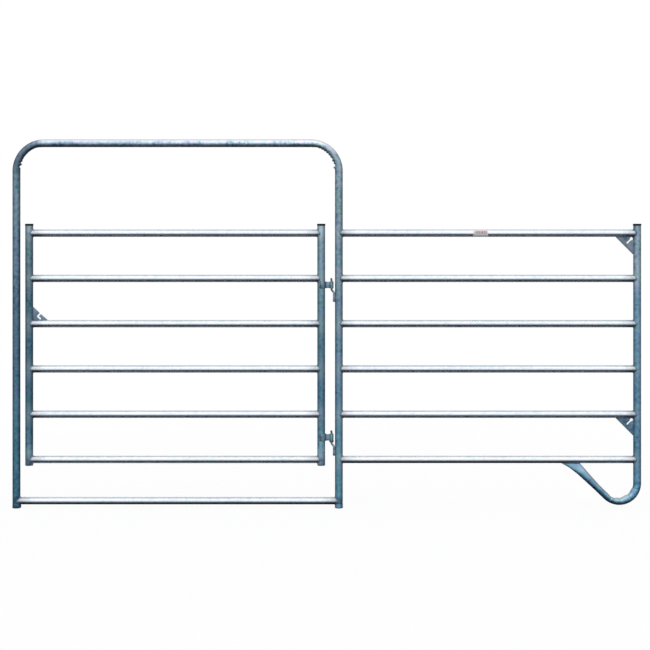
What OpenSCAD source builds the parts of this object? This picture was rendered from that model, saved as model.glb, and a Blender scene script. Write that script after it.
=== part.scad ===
// Livestock panel with a built-in walk-through gate, in galvanised steel tube.
// A round-cornered bow frames the doorway and carries the gate on two pins. A fixed
// run of rails goes on from the bow's hinge post to an end stile with a skid foot.
// +X runs from the latch post to the end stile, +Y is the back, +Z is up. The origin
// is on the ground, half way along. Sizes are in millimetres and angles in degrees.

/* [Overall] */
// Length of the whole panel, over the rims of the plugs and feet
panel_length = 3600; // [3200:10:4200]
// Height of the top of the bow over the doorway
bow_height = 2110; // [1950:10:2300]
// Height of the open tube ends of the gate stiles and the end stile
stile_height = 1616; // [1606:1:1660]
// Clear width between the two posts of the bow
doorway_width = 1800; // [1500:10:1900]

/* [Tubes] */
// Outside diameter of the posts and stiles
post_d = 45; // [44:0.5:46]
// Wall of the posts and stiles
post_wall = 2.5; // [2:0.1:3.2]
// Outside diameter of the rails
rail_d = 42; // [38:0.5:43]
// Wall of the rails
rail_wall = 2; // [1.5:0.1:3]

/* [Rails] */
// Height of the axis of the top rails
top_rail_z = 1573; // [1560:1:1580]
// Distance from one rail's axis to the next
rail_pitch = 259; // [240:1:262]
// Height of the axis of the base rail under the gate
base_rail_z = 42; // [35:1:60]

/* [Bends] */
// Radius of the bow's two corners, at the tube's axis
bow_bend_r = 160; // [120:5:220]
// Radius of the skid foot's bend, at the tube's axis
foot_bend_r = 103; // [90:1:112]
// Height of the skid foot's lowest point over the feet of the two posts
foot_lift = 18; // [0:1:30]
// Slope of the skid foot's leg above level
foot_slope = 43.5; // [38:0.5:48]
// Width of the leg's end where it is pressed flat
foot_flat_w = 68; // [60:1:72]
// Thickness of the leg's end where it is pressed flat
foot_flat_t = 9; // [7:0.5:12]
// Length over which the round leg goes over into its flat end
foot_taper = 130; // [80:5:150]

/* [Gate] */
// Gap between the latch post and the gate
latch_gap = 28; // [20:1:50]
// Gap between the gate and the hinge post
hinge_gap = 56; // [50:1:70]
// Height of the lower ends of the gate stiles
gate_bottom = 244; // [225:1:245]

/* [Hinges] */
// Height of the middle of the upper hinge strap
upper_strap_z = 1277; // [1240:1:1300]
// Height of the middle of the lower hinge strap
lower_strap_z = 405; // [390:1:440]
// Height of a strap's band
strap_h = 40; // [30:1:50]
// Thickness of a strap's band
strap_t = 5; // [4:0.5:6]
// Length of strap past the middle of the gate stile
strap_past = 6; // [3:1:10]
// Radius between a strap's neck and its saddle
strap_fillet_r = 10; // [6:1:12]
// Diameter of the hinge pin's rod
pin_d = 12; // [10:0.5:12.5]
// Play all round the pin in the strap's eye
pin_play = 0.5; // [0.3:0.1:1]
// Distance from the hinge post's axis to the pin's axis
pin_offset = 42; // [40:0.5:46]
// Length of pin that stands above the eye
pin_proud = 19; // [10:1:30]
// Length of rod welded along the post
pin_leg = 64; // [40:1:80]
// Diameter of the loose washer under the lower eye
washer_d = 28; // [24:1:32]
// Thickness of that washer
washer_t = 3; // [2:0.5:4]
// Diameter of the collar welded to the lower pin
collar_d = 24; // [20:1:28]
// Thickness of that collar
collar_t = 5; // [4:0.5:8]

/* [Gussets] */
// Thickness of the gusset plates
gusset_t = 5; // [4:0.5:8]
// Length of the end stile's gussets along the rail and the stile
corner_leg = 100; // [80:1:120]
// Distance of the keyhole's round hole from both tubes
keyhole_inset = 10.5; // [10:0.5:16]
// Radius of the keyhole's round hole
keyhole_r = 8.5; // [7:0.5:9.5]
// Width of the keyhole's slot
keyhole_slot_w = 8; // [6:0.5:10]
// Length of the keyhole's slot, from the middle of the hole
keyhole_slot_l = 34; // [25:1:40]
// Length of the gate's gusset along the rail
catch_w = 82; // [75:1:95]
// Height of the gate's gusset along the stile
catch_h = 75; // [70:1:95]
// Width of the chain slot in the gate's gusset
catch_slot_w = 9; // [7:0.5:10]
// Depth of the chain slot's mouth from the sloping edge
catch_slot_in = 22; // [18:1:26]
// Length of the chain slot's hook, along the sloping edge
catch_slot_turn = 20; // [14:1:24]

/* [Plugs, feet and label] */
// Diameter of the rims of the plugs and feet
rim_d = 48; // [47:0.5:50]
// Height of a plug's rim
plug_rim_h = 11; // [6:1:14]
// Depth of a plug's skirt in the tube
plug_skirt = 20; // [12:1:30]
// Wall of a plug's skirt
plug_wall = 2; // [1.5:0.1:3]
// Thickness of a post's foot disc
foot_disc_h = 5; // [4:0.5:8]
// Distance of the middle of the label from mid-length
label_x = 879; // [700:5:1000]
// Length of the label along the rail
label_l = 84; // [60:1:120]
// Thickness of the label
label_t = 0.6; // [0.4:0.1:1]

/* [Hidden] */
$fn = 48;
rail_count = 6;
post_r = post_d / 2;
rail_r = rail_d / 2;
rim_r = rim_d / 2;
end_x = panel_length / 2 - rim_r;
latch_post_x = -end_x;
hinge_post_x = latch_post_x + doorway_width + post_d;
latch_stile_x = latch_post_x + latch_gap + post_d;
hinge_stile_x = hinge_post_x - hinge_gap - post_d;
bottom_rail_z = top_rail_z - (rail_count - 1) * rail_pitch;
bow_axis_z = bow_height - post_r;

// The skid foot's bend is a part of a ring about this point, and the leg starts at
// leg_at from there, in X and Z.
foot_x = end_x - foot_bend_r;
foot_z = foot_lift + post_r + foot_bend_r;
foot_turn = 90 + foot_slope;
leg_at = -foot_bend_r * [sin(foot_slope), cos(foot_slope)];
leg_length = (bottom_rail_z - rail_r - foot_z - leg_at[1]) / sin(foot_slope);
// Along its length, the leg starts to flatten and is flat at these two places.
taper_start = leg_length - foot_taper;
taper_end = leg_length - foot_flat_w / 2;

// The hinge rod jogs from the pin to the post in two square bends.
pin_r = pin_d / 2;
pin_x = hinge_post_x - pin_offset;
rod_leg_x = hinge_post_x - post_r - pin_r;
pin_jog = rod_leg_x - pin_x;
pin_bend_r = pin_jog / 2;
eye_r = pin_r + pin_play;
// A fillet's circle cuts this far into its two neighbours, so that no sliver is left.
fillet_lap = 0.1;
washer_z = lower_strap_z - strap_h / 2 - washer_t;

// A point on the label's arc is named by its angle above the rail's front.
label_low = -80;
label_high = 50;
// Longer than any tube that a cutter goes through
far = 400;

// Height of the axis of rail i, where rail 1 is the top one.
function rail_z(i) = top_rail_z - (i - 1) * rail_pitch;

// A bent bar or tube in the X-Z plane, from angle a, measured from +X towards +Z. It
// lies between the radii r0 and r1 from its own axis.
module bend(ring_r, r0, r1, a, turn = 90) {
    rotate([90, 0, 0])
        rotate([0, 0, a])
            rotate_extrude(angle = turn)
                translate([ring_r, 0])
                    difference() {
                        circle(r = r1);
                        if (r0 > 0)
                            circle(r = r0);
                    }
}

// The solid outline of an upright post or stile at x.
module upright(x, r, low, high) {
    translate([x, 0, low])
        cylinder(r = r, h = high - low);
}

// A rail's round bar, along X.
module level_bar(r, x0, x1, z) {
    translate([x0, 0, z])
        rotate([0, 90, 0])
            cylinder(r = r, h = x1 - x0);
}

// A rail cut to the saddle shape of the uprights at both ends.
module coped_rail(x0, x1, z) {
    color("lightsteelblue")
        difference() {
            level_bar(rail_r, x0, x1, z);
            level_bar(rail_r - rail_wall, x0 - 1, x1 + 1, z);
            upright(x0, post_r, z - far, z + far);
            upright(x1, post_r, z - far, z + far);
        }
}

// The whole run of the bow at radius r: both posts, both corners and the top.
module bow_run(r, low) {
    spring_z = bow_axis_z - bow_bend_r;
    for (x = [latch_post_x, hinge_post_x])
        upright(x, r, low, spring_z);
    level_bar(r, latch_post_x + bow_bend_r, hinge_post_x - bow_bend_r, bow_axis_z);
    translate([latch_post_x + bow_bend_r, 0, spring_z])
        bend(bow_bend_r, 0, r, 90);
    translate([hinge_post_x - bow_bend_r, 0, spring_z])
        bend(bow_bend_r, 0, r, 0);
}

module frame_bow() {
    color("slategray")
        difference() {
            bow_run(post_r, foot_disc_h);
            bow_run(post_r - post_wall, foot_disc_h - 1);
        }
}

module frame_base_rail() {
    coped_rail(latch_post_x, hinge_post_x, base_rail_z);
}

// A steel disc that closes a post's lower end, with its lower edge rounded.
module post_foot(x) {
    edge_r = foot_disc_h - 1;
    color("slategray")
        translate([x, 0, 0])
            rotate_extrude() {
                square([rim_r - edge_r, foot_disc_h]);
                translate([0, edge_r])
                    square([rim_r, foot_disc_h - edge_r]);
                intersection() {
                    translate([rim_r - edge_r, edge_r])
                        circle(r = edge_r);
                    translate([rim_r - edge_r, 0])
                        square([edge_r, edge_r]);
                }
            }
}

module post_foot_left() {
    post_foot(latch_post_x);
}

module post_foot_right() {
    post_foot(hinge_post_x);
}

module panel_rail(i) {
    coped_rail(hinge_post_x, end_x, rail_z(i));
}

module gate_rail(i) {
    coped_rail(latch_stile_x, hinge_stile_x, rail_z(i));
}

// Moves a shape from the foot's bend to the start of its leg, with its +Z along the
// leg and its +X square to the leg in the panel's plane.
module on_leg() {
    translate([leg_at[0], 0, leg_at[1]])
        rotate([0, foot_slope - 90, 0])
            children();
}

// An outline in the leg's own X and Z, or Y and Z, as a bar as thick as the tube.
module leg_cutter(side_on) {
    rotate([90, 0, side_on ? 90 : 0])
        linear_extrude(2 * post_d, center = true)
            children();
}

// The leg at one of its two surfaces: a round bar that two faces press flat and that
// flares out sideways to the width w as it gets thin.
module leg_run(r, w, t) {
    leg_end = leg_length + foot_flat_w;
    intersection() {
        union() {
            cylinder(r = r, h = leg_end);
            leg_cutter(false)
                polygon([
                    [0, taper_start],
                    [w / 2, taper_end],
                    [w / 2, leg_end],
                    [-w / 2, leg_end],
                    [-w / 2, taper_end]
                ]);
        }
        leg_cutter(true)
            polygon([
                [-post_d, -1],
                [post_d, -1],
                [post_d, taper_start],
                [r, taper_start],
                [t / 2, taper_end],
                [t / 2, leg_end],
                [-t / 2, leg_end],
                [-t / 2, taper_end],
                [-r, taper_start],
                [-post_d, taper_start]
            ]);
    }
}

// The straight run of the tube that goes on below as the skid foot
module panel_end_stile() {
    color("slategray")
        difference() {
            upright(end_x, post_r, foot_z, stile_height);
            upright(end_x, post_r - post_wall, foot_z - 1, stile_height + 1);
        }
}

// The run of that tube that is bent round just over the ground
module skid_foot_bend() {
    color("slategray")
        translate([foot_x, 0, foot_z])
            bend(foot_bend_r, post_r - post_wall, post_r, -foot_turn, foot_turn);
}

// The run of that tube that goes back up to the lowest rail, where it is pressed flat
module skid_foot_leg() {
    walls = 2 * post_wall;
    color("slategray")
        difference() {
            translate([foot_x, 0, foot_z])
                on_leg()
                    difference() {
                        leg_run(post_r, foot_flat_w, foot_flat_t);
                        translate([0, 0, -0.5])
                            leg_run(post_r - post_wall, foot_flat_w - walls, foot_flat_t - walls);
                    }
            level_bar(rail_r, foot_x - far, foot_x, bottom_rail_z);
            translate([foot_x - far, -post_d, bottom_rail_z])
                cube([far, 2 * post_d, far]);
        }
}

// A plastic plug with a broad rim on the tube's end and a hollow skirt inside it.
module stile_plug(x) {
    bevel = 1.5;
    skirt_r = post_r - post_wall;
    color("black")
        translate([x, 0, stile_height])
            rotate_extrude()
                polygon([
                    [0, plug_rim_h],
                    [rim_r - bevel, plug_rim_h],
                    [rim_r, plug_rim_h - bevel],
                    [rim_r, 0],
                    [skirt_r, 0],
                    [skirt_r, -plug_skirt],
                    [skirt_r - plug_wall, -plug_skirt],
                    [skirt_r - plug_wall, plug_wall],
                    [0, plug_wall]
                ]);
}

module end_stile_plug() {
    stile_plug(end_x);
}

module latch_stile_plug() {
    stile_plug(latch_stile_x);
}

module hinge_stile_plug() {
    stile_plug(hinge_stile_x);
}

// An upright plate in the panel's plane, made from an outline drawn in X and Z.
module plate() {
    translate([0, gusset_t / 2, 0])
        rotate([90, 0, 0])
            linear_extrude(gusset_t)
                children();
}

// A slot with round ends from point a to point b.
module slot(a, b, w) {
    run = b - a;
    translate(a)
        rotate(atan2(run[1], run[0])) {
            translate([0, -w / 2])
                square([norm(run), w]);
            circle(d = w);
            translate([norm(run), 0])
                circle(d = w);
        }
}

// A corner plate under rail i at the end stile, with a keyhole for a chain.
module corner_gusset(i) {
    corner = [end_x - post_r, rail_z(i) - rail_r];
    hole = corner - [keyhole_inset, keyhole_inset];
    slot_run = keyhole_slot_l * sqrt(0.5);
    color("lightslategray")
        difference() {
            plate()
                difference() {
                    polygon([
                        corner + [post_r / 2, rail_r / 2],
                        corner + [-corner_leg, rail_r / 2],
                        corner + [-corner_leg, 0],
                        corner + [0, -corner_leg],
                        corner + [post_r / 2, -corner_leg]
                    ]);
                    translate(hole)
                        circle(r = keyhole_r);
                    slot(hole, hole - [slot_run, slot_run], keyhole_slot_w);
                }
            upright(end_x, post_r, rail_z(i) - far, rail_z(i) + far);
            level_bar(rail_r, end_x - far, end_x, rail_z(i));
        }
}

module corner_gusset_upper() {
    corner_gusset(1);
}

module corner_gusset_lower() {
    corner_gusset(5);
}

// The plate that the gate's chain hooks into, on top of the third rail.
module gate_chain_gusset() {
    corner = [latch_stile_x + post_r, rail_z(3) + rail_r];
    mouth = corner + [catch_w, catch_h] / 2;
    inward = -[catch_h, catch_w] / norm([catch_w, catch_h]);
    along = [catch_w, -catch_h] / norm([catch_w, catch_h]);
    elbow = mouth + inward * catch_slot_in;
    color("lightslategray")
        difference() {
            plate()
                difference() {
                    polygon([
                        corner - [post_r / 2, rail_r / 2],
                        corner + [catch_w, -rail_r / 2],
                        corner + [catch_w, 0],
                        corner + [0, catch_h],
                        corner + [-post_r / 2, catch_h]
                    ]);
                    slot(elbow, mouth - inward * catch_slot_w, catch_slot_w);
                    slot(elbow, elbow + along * catch_slot_turn, catch_slot_w);
                }
            upright(latch_stile_x, post_r, rail_z(3) - far, rail_z(3) + far);
            level_bar(rail_r, latch_stile_x, latch_stile_x + far, rail_z(3));
        }
}

// A blank sticker wrapped round the front and underside of the top rail.
module rail_label() {
    reach = 2 * rail_d;
    color("white")
        translate([label_x - label_l / 2, 0, top_rail_z])
            rotate([90, 0, 90])
                linear_extrude(label_l)
                    intersection() {
                        difference() {
                            circle(r = rail_r + label_t);
                            circle(r = rail_r);
                        }
                        polygon([
                            [0, 0],
                            [-reach * cos(label_high), reach * sin(label_high)],
                            [-reach, -reach],
                            [-reach * cos(label_low), reach * sin(label_low)]
                        ]);
                    }
}

// An open gate stile.
module gate_stile(x) {
    color("slategray")
        difference() {
            upright(x, post_r, gate_bottom, stile_height);
            upright(x, post_r - post_wall, gate_bottom - 1, stile_height + 1);
        }
}

module gate_latch_stile() {
    gate_stile(latch_stile_x);
}

module gate_hinge_stile() {
    gate_stile(hinge_stile_x);
}

// A rod that stands up as the hinge pin, jogs over to the post and is welded down it.
// Its pin goes through an eye centred at height z, with a shoulder below the eye.
module hinge_pin(z, shoulder) {
    bevel = 2;
    straight = shoulder + strap_h + pin_proud - bevel;
    color("darkslategray")
        translate([pin_x, 0, z - strap_h / 2 - shoulder]) {
            upright(0, pin_r, 0, straight);
            translate([0, 0, straight])
                cylinder(r1 = pin_r, r2 = pin_r - bevel, h = bevel);
            translate([pin_bend_r, 0, 0])
                bend(pin_bend_r, 0, pin_r, 180);
            translate([pin_bend_r, 0, -pin_jog])
                bend(pin_bend_r, 0, pin_r, 0);
            upright(pin_jog, pin_r, -pin_jog - pin_leg, -pin_jog);
        }
}

module hinge_pin_upper() {
    hinge_pin(upper_strap_z, 0);
}

module hinge_pin_lower() {
    hinge_pin(lower_strap_z, washer_t + collar_t);
}

// A flat ring round the lower pin.
module pin_ring(d, bore_r, t, z) {
    translate([pin_x, 0, z])
        difference() {
            cylinder(d = d, h = t);
            translate([0, 0, -1])
                cylinder(r = bore_r, h = t + 2);
        }
}

module hinge_collar() {
    color("darkslategray")
        pin_ring(collar_d, pin_r, collar_t, washer_z - collar_t);
}

module hinge_washer() {
    color("gray")
        pin_ring(washer_d, eye_r, washer_t, washer_z);
}

// The rounded inside corner between a strap's neck and its saddle.
module strap_fillet() {
    saddle_r = post_r + strap_t;
    reach_y = strap_t + strap_fillet_r;
    reach_x = sqrt(pow(saddle_r + strap_fillet_r, 2) - reach_y * reach_y);
    difference() {
        polygon([
            [0, 0],
            [reach_x, 0],
            [reach_x, reach_y],
            [reach_x, reach_y] * saddle_r / (saddle_r + strap_fillet_r)
        ]);
        translate([reach_x, reach_y])
            circle(r = strap_fillet_r + fillet_lap);
    }
}

// A band bent round the pin, pinched to a neck and opened out again round the stile.
module hinge_strap(z) {
    color("cadetblue")
        translate([hinge_stile_x, 0, z - strap_h / 2])
            linear_extrude(strap_h)
                difference() {
                    union() {
                        circle(r = post_r + strap_t);
                        strap_fillet();
                        mirror([0, 1])
                            strap_fillet();
                        translate([0, -strap_t])
                            square([pin_x - hinge_stile_x, 2 * strap_t]);
                        translate([pin_x - hinge_stile_x, 0])
                            circle(r = eye_r + strap_t);
                    }
                    circle(r = post_r);
                    translate([pin_x - hinge_stile_x, 0])
                        circle(r = eye_r);
                    translate([-post_d - strap_past, -post_d])
                        square([post_d, 2 * post_d]);
                }
}

module hinge_strap_upper() {
    hinge_strap(upper_strap_z);
}

module hinge_strap_lower() {
    hinge_strap(lower_strap_z);
}

frame_bow();
frame_base_rail();
post_foot_left();
post_foot_right();
hinge_pin_upper();
hinge_pin_lower();
hinge_collar();
hinge_washer();
panel_rail(1);  // panel_rail_1
panel_rail(2);  // panel_rail_2
panel_rail(3);  // panel_rail_3
panel_rail(4);  // panel_rail_4
panel_rail(5);  // panel_rail_5
panel_rail(6);  // panel_rail_6
panel_end_stile();
skid_foot_bend();
skid_foot_leg();
end_stile_plug();
corner_gusset_upper();
corner_gusset_lower();
rail_label();
gate_rail(1);  // gate_rail_1
gate_rail(2);  // gate_rail_2
gate_rail(3);  // gate_rail_3
gate_rail(4);  // gate_rail_4
gate_rail(5);  // gate_rail_5
gate_rail(6);  // gate_rail_6
gate_latch_stile();
gate_hinge_stile();
latch_stile_plug();
hinge_stile_plug();
gate_chain_gusset();
hinge_strap_upper();
hinge_strap_lower();
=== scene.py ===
"""The looks of a galvanised livestock panel with a walk-through gate.

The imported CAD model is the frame. Straight rails keep their CAD shape and get a
material. The bent tubes, gate stiles, hinges, plates, plugs, feet and sticker are
replaced by detailed pieces in the same places, and weld beads are added at every
joint. All lengths are in metres.
"""

import random
from collections import namedtuple
from math import asin, ceil, copysign, cos, degrees, exp, pi, radians, sin, sqrt, tan

import bmesh
import bpy
from mathutils import Matrix, Vector, noise


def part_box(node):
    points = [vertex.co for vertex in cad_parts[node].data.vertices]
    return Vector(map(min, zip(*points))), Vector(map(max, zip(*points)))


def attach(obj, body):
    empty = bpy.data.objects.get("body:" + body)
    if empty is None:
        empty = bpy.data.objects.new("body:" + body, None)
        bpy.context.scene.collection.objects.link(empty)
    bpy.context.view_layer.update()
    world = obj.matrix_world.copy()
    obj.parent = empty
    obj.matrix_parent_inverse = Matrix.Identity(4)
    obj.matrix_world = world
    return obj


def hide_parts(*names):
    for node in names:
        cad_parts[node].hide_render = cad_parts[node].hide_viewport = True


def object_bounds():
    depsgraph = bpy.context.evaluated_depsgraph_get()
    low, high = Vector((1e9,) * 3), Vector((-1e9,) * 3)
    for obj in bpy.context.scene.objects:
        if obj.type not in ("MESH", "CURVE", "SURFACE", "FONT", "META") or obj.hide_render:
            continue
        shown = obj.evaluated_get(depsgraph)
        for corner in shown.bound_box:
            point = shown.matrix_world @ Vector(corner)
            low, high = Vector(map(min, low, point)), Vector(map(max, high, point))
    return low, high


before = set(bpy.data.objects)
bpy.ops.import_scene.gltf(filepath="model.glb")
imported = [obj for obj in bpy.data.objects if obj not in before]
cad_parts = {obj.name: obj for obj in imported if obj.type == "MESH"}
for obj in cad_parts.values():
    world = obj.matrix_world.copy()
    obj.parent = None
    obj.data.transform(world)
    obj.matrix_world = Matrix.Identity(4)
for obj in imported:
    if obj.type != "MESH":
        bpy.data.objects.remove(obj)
cad_low, cad_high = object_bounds()

MM = 0.001
RAIL_COUNT = 6
RING = 40

# Sizes that the CAD model gives, from its boxes
bow_low, bow_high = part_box("frame_bow")
base_low, base_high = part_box("frame_base_rail")
POST_R = bow_high.y
RAIL_R = (base_high.z - base_low.z) / 2
LATCH_POST_X = bow_low.x + POST_R
HINGE_POST_X = bow_high.x - POST_R
TOP_RAIL_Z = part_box("panel_rail_1")[1].z - RAIL_R
LOWEST_RAIL_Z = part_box(f"panel_rail_{RAIL_COUNT}")[1].z - RAIL_R

# Sizes that a box can't give, the same as in the CAD model
POST_WALL = 2.5 * MM
BOW_BEND_R = 160 * MM
BOW_SPRING_Z = bow_high.z - POST_R - BOW_BEND_R
FOOT_BEND_R = 103 * MM
FOOT_SLOPE = 43.5
FOOT_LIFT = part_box("skid_foot_bend")[0].z
GUSSET_T = 5 * MM
CORNER_LEG = 100 * MM
KEYHOLE_INSET = 10.5 * MM
KEYHOLE_R = 8.5 * MM
KEYHOLE_SLOT_W = 8 * MM
KEYHOLE_SLOT_L = 34 * MM
CATCH_W = 82 * MM
CATCH_H = 75 * MM
CATCH_SLOT_W = 9 * MM
CATCH_SLOT_IN = 22 * MM
CATCH_SLOT_TURN = 20 * MM
STRAP_T = 5 * MM
STRAP_PAST = 6 * MM
STRAP_FILLET_R = 10 * MM
PIN_PLAY = 0.5 * MM

# The camera stands level, square to the panel, a little above the gate's middle.
CAMERA_DISTANCE = 8.5
CAMERA_HEIGHT = 1.57
VIEW_MIDDLE = (-0.0103, 1.0474)
VIEW_WIDTH = 3.72
SENSOR = 36


def middle(node):
    """The middle of a CAD node's box."""
    low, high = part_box(node)
    return (low + high) / 2


def upright_x(node):
    return middle(node).x


def bar_radius(node):
    """The radius of a round bar in the panel's plane, from how deep its box is."""
    low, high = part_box(node)
    return (high.y - low.y) / 2


def unit(heading):
    """A step of length 1 in a plane. The heading is in degrees from its first axis."""
    angle = radians(heading)
    return Vector((cos(angle), sin(angle)))


def rail_z(group, number):
    return middle(f"{group}_rail_{number}").z


def smooth(value):
    """Goes from 0 to 1 with no corner at either end."""
    value = max(0.0, min(1.0, value))
    return value * value * (3 - 2 * value)


def circle(count):
    """(cosine, sine) pairs once round a circle."""
    angles = [2 * pi * i / count for i in range(count)]
    return [(cos(angle), sin(angle)) for angle in angles]


def between(table, at):
    """The row of numbers that a table of (place, numbers...) holds at one place."""
    if at <= table[0][0]:
        return table[0][1:]
    for before, after in zip(table, table[1:]):
        if at <= after[0]:
            share = (at - before[0]) / (after[0] - before[0])
            return [a + (b - a) * share for a, b in zip(before[1:], after[1:])]
    return table[-1][1:]


# ---- materials


def srgb(red, green, blue):
    """A colour given as it shows on a screen, from 0 to 255, as Blender wants it."""

    def linear(value):
        value /= 255
        return value / 12.92 if value <= 0.04045 else ((value + 0.055) / 1.055) ** 2.4

    return (linear(red), linear(green), linear(blue), 1)


class Nodes:
    """Short calls for building a node tree."""

    def __init__(self, tree):
        self.tree = tree

    def fill(self, node, inputs):
        """Links or sets a node's inputs."""
        for name, value in inputs.items():
            if isinstance(value, bpy.types.NodeSocket):
                self.tree.links.new(value, node.inputs[name])
            else:
                node.inputs[name].default_value = value

    def add(self, kind, inputs=None, **settings):
        """Adds a shader node, sets its properties, and fills its inputs."""
        node = self.tree.nodes.new(f"ShaderNode{kind}")
        for name, value in settings.items():
            setattr(node, name, value)
        self.fill(node, inputs or {})
        return node

    def math(self, operation, first, second=0.0):
        return self.add("Math", {0: first, 1: second}, operation=operation).outputs[0]

    def plus(self, first, second):
        return self.math("ADD", first, second)

    def minus(self, first, second):
        return self.math("SUBTRACT", first, second)

    def times(self, first, *others):
        for other in others:
            first = self.math("MULTIPLY", first, other)
        return first

    def weighted(self, *layers):
        """The sum of (value, share) layers, each times its share."""
        total = 0.0
        for value, share in layers:
            total = self.plus(total, self.times(value, share))
        return total

    def ramp(self, factor, stops):
        """A colour ramp through (place, colour) stops."""
        node = self.add("ValToRGB", {"Fac": factor})
        elements = node.color_ramp.elements
        while len(elements) < len(stops):
            elements.new(0.5)
        while len(elements) > len(stops):
            elements.remove(elements[-1])
        for element, (place, colour) in zip(elements, stops):
            element.position = place
            element.color = colour
        return node.outputs["Color"]

    def mix(self, factor, first, second, blend="MIX"):
        """Mixes two colours, with a Mix node's inputs 6 and 7 and its output 2."""
        inputs = {0: factor, 6: first, 7: second}
        return self.add("Mix", inputs, data_type="RGBA", blend_type=blend).outputs[2]

    def tinted(self, colour, tint, share=1.0):
        return self.mix(share, colour, tint, "MULTIPLY")

    def noise(self, vector, scale, detail=3.0, roughness=0.55):
        inputs = {"Vector": vector, "Scale": scale, "Detail": detail, "Roughness": roughness}
        return self.add("TexNoise", inputs).outputs["Fac"]

    def stretched(self, vector, scale):
        return self.add("Mapping", {"Vector": vector, "Scale": scale}).outputs[0]

    def spread(self, value, low, high, to_low=0.0, to_high=1.0):
        """Maps a value from one span to another, held at both ends."""
        inputs = {0: value, 1: low, 2: high, 3: to_low, 4: to_high}
        return self.add("MapRange", inputs).outputs[0]

    def bump(self, height, strength, depth):
        inputs = {"Height": height, "Strength": strength, "Distance": depth}
        return self.add("Bump", inputs).outputs["Normal"]


def material_tree(name):
    """A new material, the calls that build its nodes, and its main shader."""
    material = bpy.data.materials.new(name)
    material.use_nodes = True
    tree = material.node_tree
    return material, Nodes(tree), tree.nodes["Principled BSDF"]


# Nearly all of a noise's values lie in this span
NOISE_SPAN = (0.3, 0.7)

# How fine each layer of the zinc's pattern is, in features per metre
PATCH_SCALE = 9
DRIFT_SCALE = 28
CLOUD_SCALE = 45
SPANGLE_SCALE = 110
RUN_SCALE = 160
GRIT_SCALE = 900
# The cloudy patches: the share that the broad ones have, and (noise, tint) stops from
# the darkest to the lightest, with the gain that makes up for the middle one
BROAD_SHARE = 0.4
PATCH_TINTS = [(0.36, (0.24, 0.42, 0.5, 1)), (0.5, (0.74, 0.77, 0.77, 1)), (0.64, (1.0, 0.98, 1.0, 1))]
PATCH_GAIN = 1.3
# The slow drift from green to lavender
DRIFT_TINTS = [(0.38, (0.86, 1.0, 0.92, 1)), (0.62, (1.04, 0.93, 1.04, 1))]
# How far the spangle, the runs and the grit darken and lighten it
SPARKLE = 0.1
RUN_SHADE = (0.92, 1.06)
GRIT_SHADE = (0.95, 1.04)
# How metallic it is, its colour at a glancing angle, the span of its wear, and its bumps
METALLIC = 0.95
EDGE_TINT = (0.5, 0.56, 0.62, 1)
WEAR_SPAN = (0.15, 0.85)
BUMP_STRENGTH = 0.45
BUMP_DEPTH = 0.5 * MM

# Darkened ends: how far a bar stays darkest from its end, and how far off it is bright again. At a
# strap's edges this is painted shade.
RAIL_END = (14 * MM, 105 * MM)
STRAP_RIM = (5 * MM, 9 * MM)
DARKEST_END = 0.5
END_FALLOFF = 0.6
# Pale zinc at a weld: how far from the rail's middle it starts to fade, and is gone.
# Its edge is ragged by the first of these, over a narrower span of the noise.
WELD_PATCH = (22 * MM, 80 * MM)
WELD_NOISE_SPAN = (0.35, 0.65)

# Pale zinc at the welds, which is also the painted highlight on faces that look up; then the painted
# shade on the bow's left bend
PALE_ZINC_AND_HIGHLIGHT = srgb(238, 238, 244)
BEND_SHADE_COLOUR = srgb(32, 46, 64)
# Painted shade on the bow's left bend: how dark, between which heights from its spring the
# shade begins, and between which places from its end along X it stops
BEND_DARKNESS = 0.46
DARK_BEGINS = (-60 * MM, 50 * MM)
DARK_STOPS = (-38 * MM, -6 * MM)
# How far up a face looks where the painted highlight on upward faces begins, and is strongest
FACING_UP = (0.22, 0.76)
# The tint at the panel's left end
LATCH_SIDE_TINT = (0.9, 0.975, 1.09, 1)


def painted_light_and_shade(nodes, parts, colour, pale):
    """Painted highlight on faces that look up, and painted shade on the bow's left bend."""
    normal = nodes.add("TexCoord").outputs["Normal"]
    facing = nodes.add("SeparateXYZ", {"Vector": normal}).outputs["Z"]
    bend_end = LATCH_POST_X + BOW_BEND_R
    past_bend = nodes.spread(parts["X"], *[bend_end + at for at in DARK_STOPS])
    raised = nodes.spread(parts["Z"], *[BOW_SPRING_Z + at for at in DARK_BEGINS])
    on_bend = nodes.times(raised, nodes.minus(1.0, past_bend))
    colour = nodes.mix(nodes.times(on_bend, BEND_DARKNESS), colour, BEND_SHADE_COLOUR)
    whitened = nodes.times(nodes.spread(facing, *FACING_UP, 0.0, pale), past_bend)
    return nodes.mix(whitened, colour, PALE_ZINC_AND_HIGHLIGHT)


def weld_patches(nodes, parts, clouds):
    """Where an upright is near the rails that are welded to it: 1 at a weld, 0 away from it."""
    pitch = (TOP_RAIL_Z - LOWEST_RAIL_Z) / (RAIL_COUNT - 1)
    down = nodes.math("DIVIDE", nodes.minus(TOP_RAIL_Z, parts["Z"]), pitch)
    rail = nodes.math("MAXIMUM", nodes.math("ROUND", down), 0)
    rail = nodes.math("MINIMUM", rail, RAIL_COUNT - 1)
    off = nodes.times(nodes.math("ABSOLUTE", nodes.minus(down, rail)), pitch)
    off = nodes.plus(off, nodes.spread(clouds, *WELD_NOISE_SPAN, -WELD_PATCH[0], WELD_PATCH[0]))
    past_latch_post = nodes.math("GREATER_THAN", parts["X"], LATCH_POST_X + 2 * POST_R)
    return nodes.times(nodes.spread(off, *WELD_PATCH, 1, 0), past_latch_post)


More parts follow.
